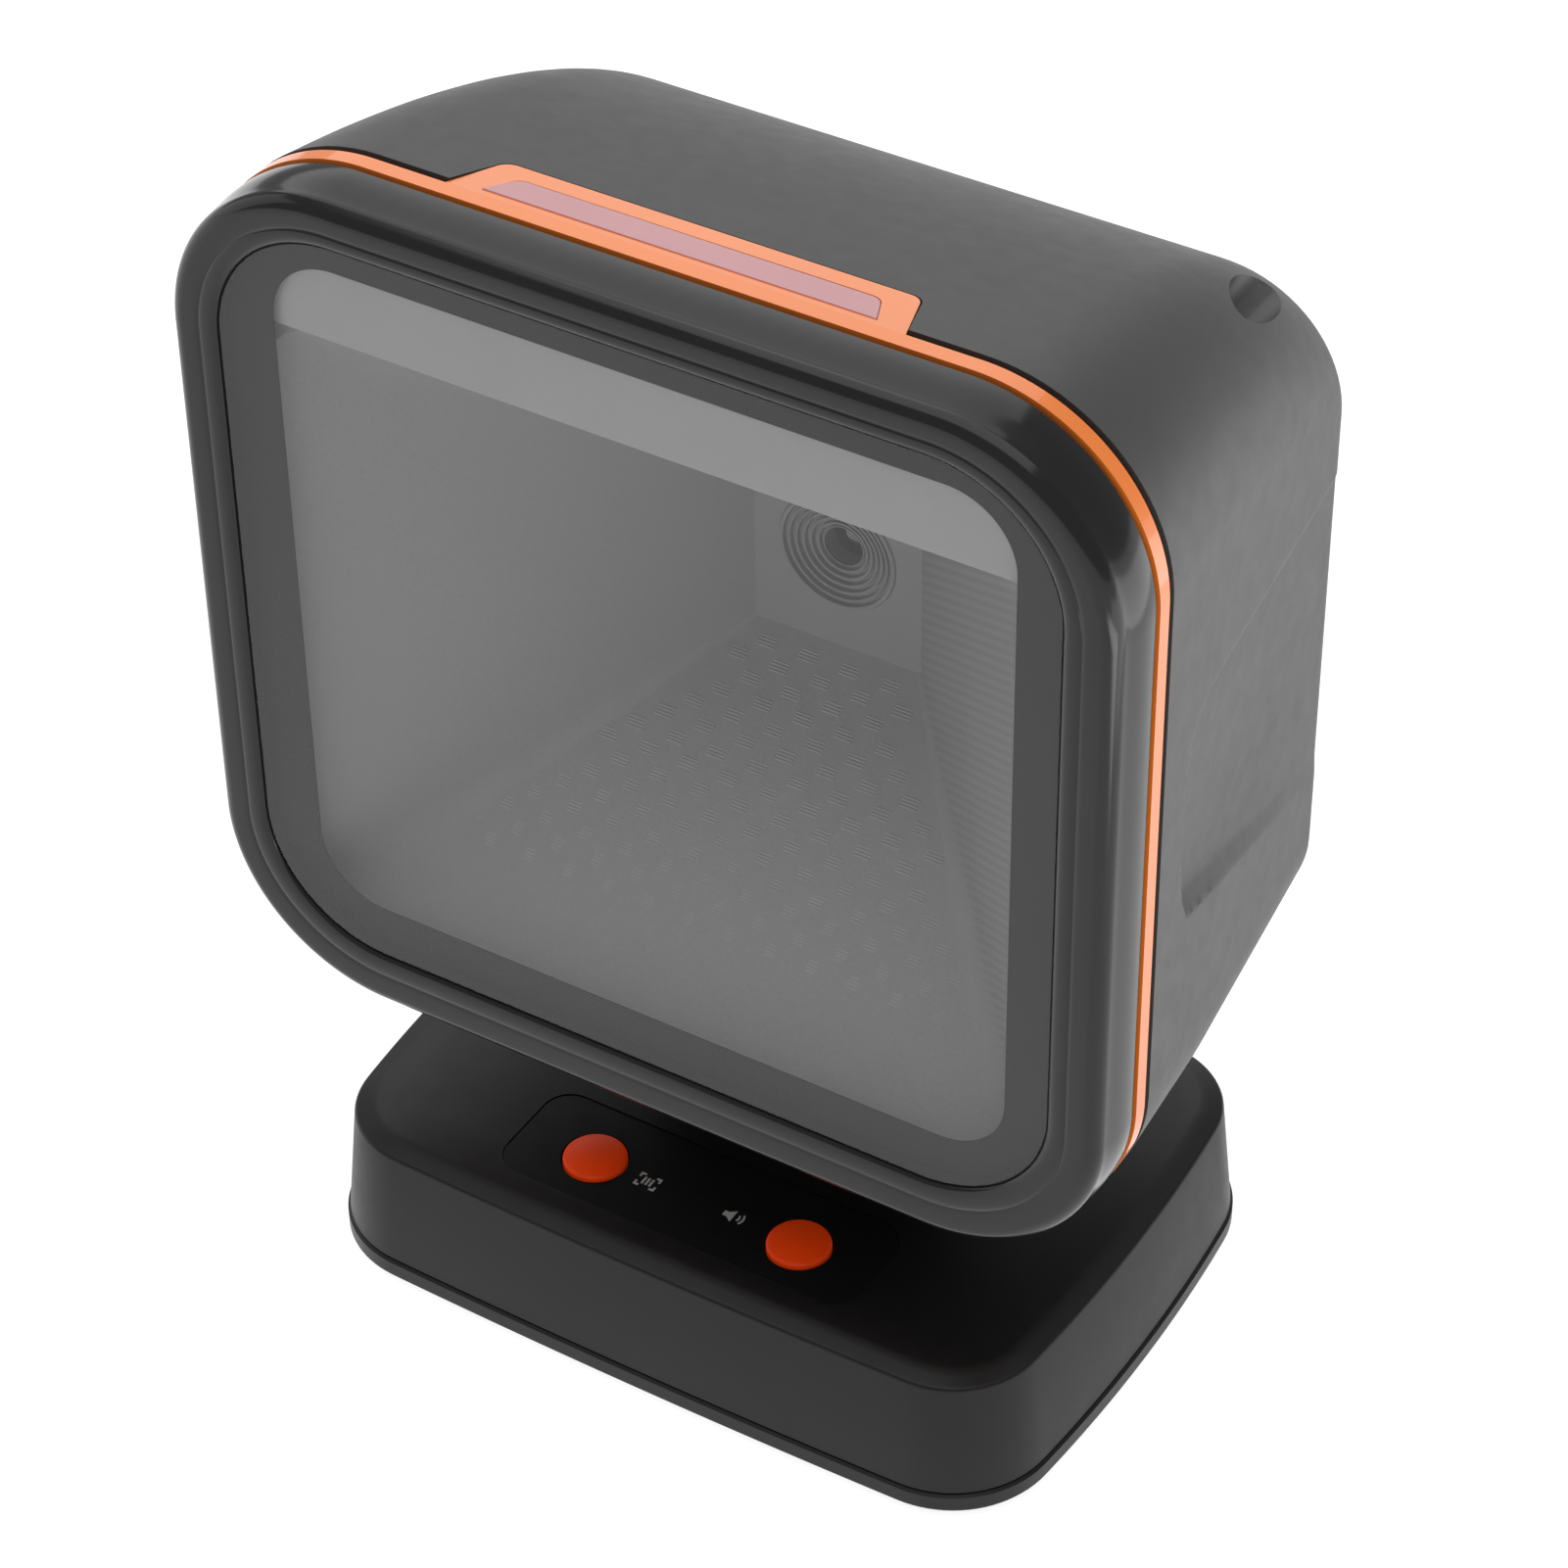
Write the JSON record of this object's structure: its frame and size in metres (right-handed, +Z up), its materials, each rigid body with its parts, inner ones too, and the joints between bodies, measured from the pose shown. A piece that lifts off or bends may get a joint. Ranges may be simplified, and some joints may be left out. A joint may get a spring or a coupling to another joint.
{
  "type": "hands-free barcode scanner",
  "caption": "Desktop hands-free barcode scanner: square tinted window in a black head with an orange ring and light bar, tilting on a weighted base with push buttons.",
  "frame": {"origin": "on the table, under the middle of the whole object's footprint", "axes": "+Z up, the window faces -Y, +X is the right of a viewer who faces the window"},
  "size_m": [0.0978, 0.0636, 0.1286],
  "materials": {
    "base_black": "fine matt moulded ABS",
    "housing_black": "fine sparked matt ABS",
    "bezel_black": "satin gloss ABS",
    "accent_orange": "satin orange ABS",
    "button_orange": "domed satin ABS",
    "panel_gloss": "polished black overlay",
    "white_ink": "printed ink",
    "border_black": "black print behind the glass",
    "tinted_glass": "lightly tinted flat window",
    "lens_glass": "coated lens",
    "light_diffuser": "milky diffuser",
    "led_white": "LED package",
    "tunnel_grey": "textured matt shroud",
    "sensor": "sensor cover",
    "circuit_board": "solder mask",
    "switch_black": "moulded nylon",
    "gold_contacts": "gold plated",
    "steel": "zinc plated",
    "rubber": "matt rubber"
  },
  "bodies": {
    "base": {"base_shell": "base_black", "base_bottom_plate": "base_black", "rubber_feet": "rubber", "base_screws": "steel", "ballast_plate": "steel", "button_panel": "panel_gloss", "panel_symbols": "white_ink", "base_circuit_board": "circuit_board", "base_board_screws": "steel", "tact_switches": "switch_black", "buzzer": "switch_black", "cable_socket": "switch_black", "socket_contacts": "gold_contacts", "socket_board": "circuit_board", "neck_yoke": "base_black", "neck_clamp_plate": "steel", "neck_screws": "steel", "hinge_shaft": "steel", "hinge_nut": "steel", "hinge_caps": "base_black", "friction_washers": "steel"},
    "head": {"front_bezel": "bezel_black", "window_glass": "tinted_glass", "window_border": "border_black", "window_gasket": "rubber", "accent_ring": "accent_orange", "status_light_bar": "light_diffuser", "status_led_board": "circuit_board", "status_leds": "led_white", "rear_housing": "housing_black", "housing_screws": "steel", "optical_tunnel": "tunnel_grey", "engine_faceplate": "tunnel_grey", "lens_barrel": "switch_black", "camera_lens": "lens_glass", "camera_board": "circuit_board", "image_sensor": "sensor", "camera_board_screws": "steel", "illumination_diffuser": "light_diffuser", "illumination_led_board": "circuit_board", "illumination_leds": "led_white", "main_circuit_board": "circuit_board", "main_board_chips": "switch_black", "main_board_screws": "steel", "hinge_bracket": "steel", "hinge_bracket_screws": "steel"},
    "scan_button": {"scan_mode_button": "button_orange", "scan_switch_plunger": "switch_black"},
    "volume_button_body": {"volume_button": "button_orange", "volume_switch_plunger": "switch_black"}
  },
  "joints": [
    {"name": "head_tilt", "type": "hinge", "parent": "base", "child": "head", "pos_m": [0, 0.00285, 0.027], "axis": [1, 0, 0], "range_deg": [-25, 15]},
    {"name": "scan_button_press", "type": "slide", "parent": "base", "child": "scan_button", "axis": [0, 0, -1], "range_m": [0, 0.0005], "stiffness_N_per_m": 1200, "springref_m": -0.0004},
    {"name": "volume_button_press", "type": "slide", "parent": "base", "child": "volume_button_body", "axis": [0, 0, -1], "range_m": [0, 0.0005], "stiffness_N_per_m": 1200, "springref_m": -0.0004}
  ]
}
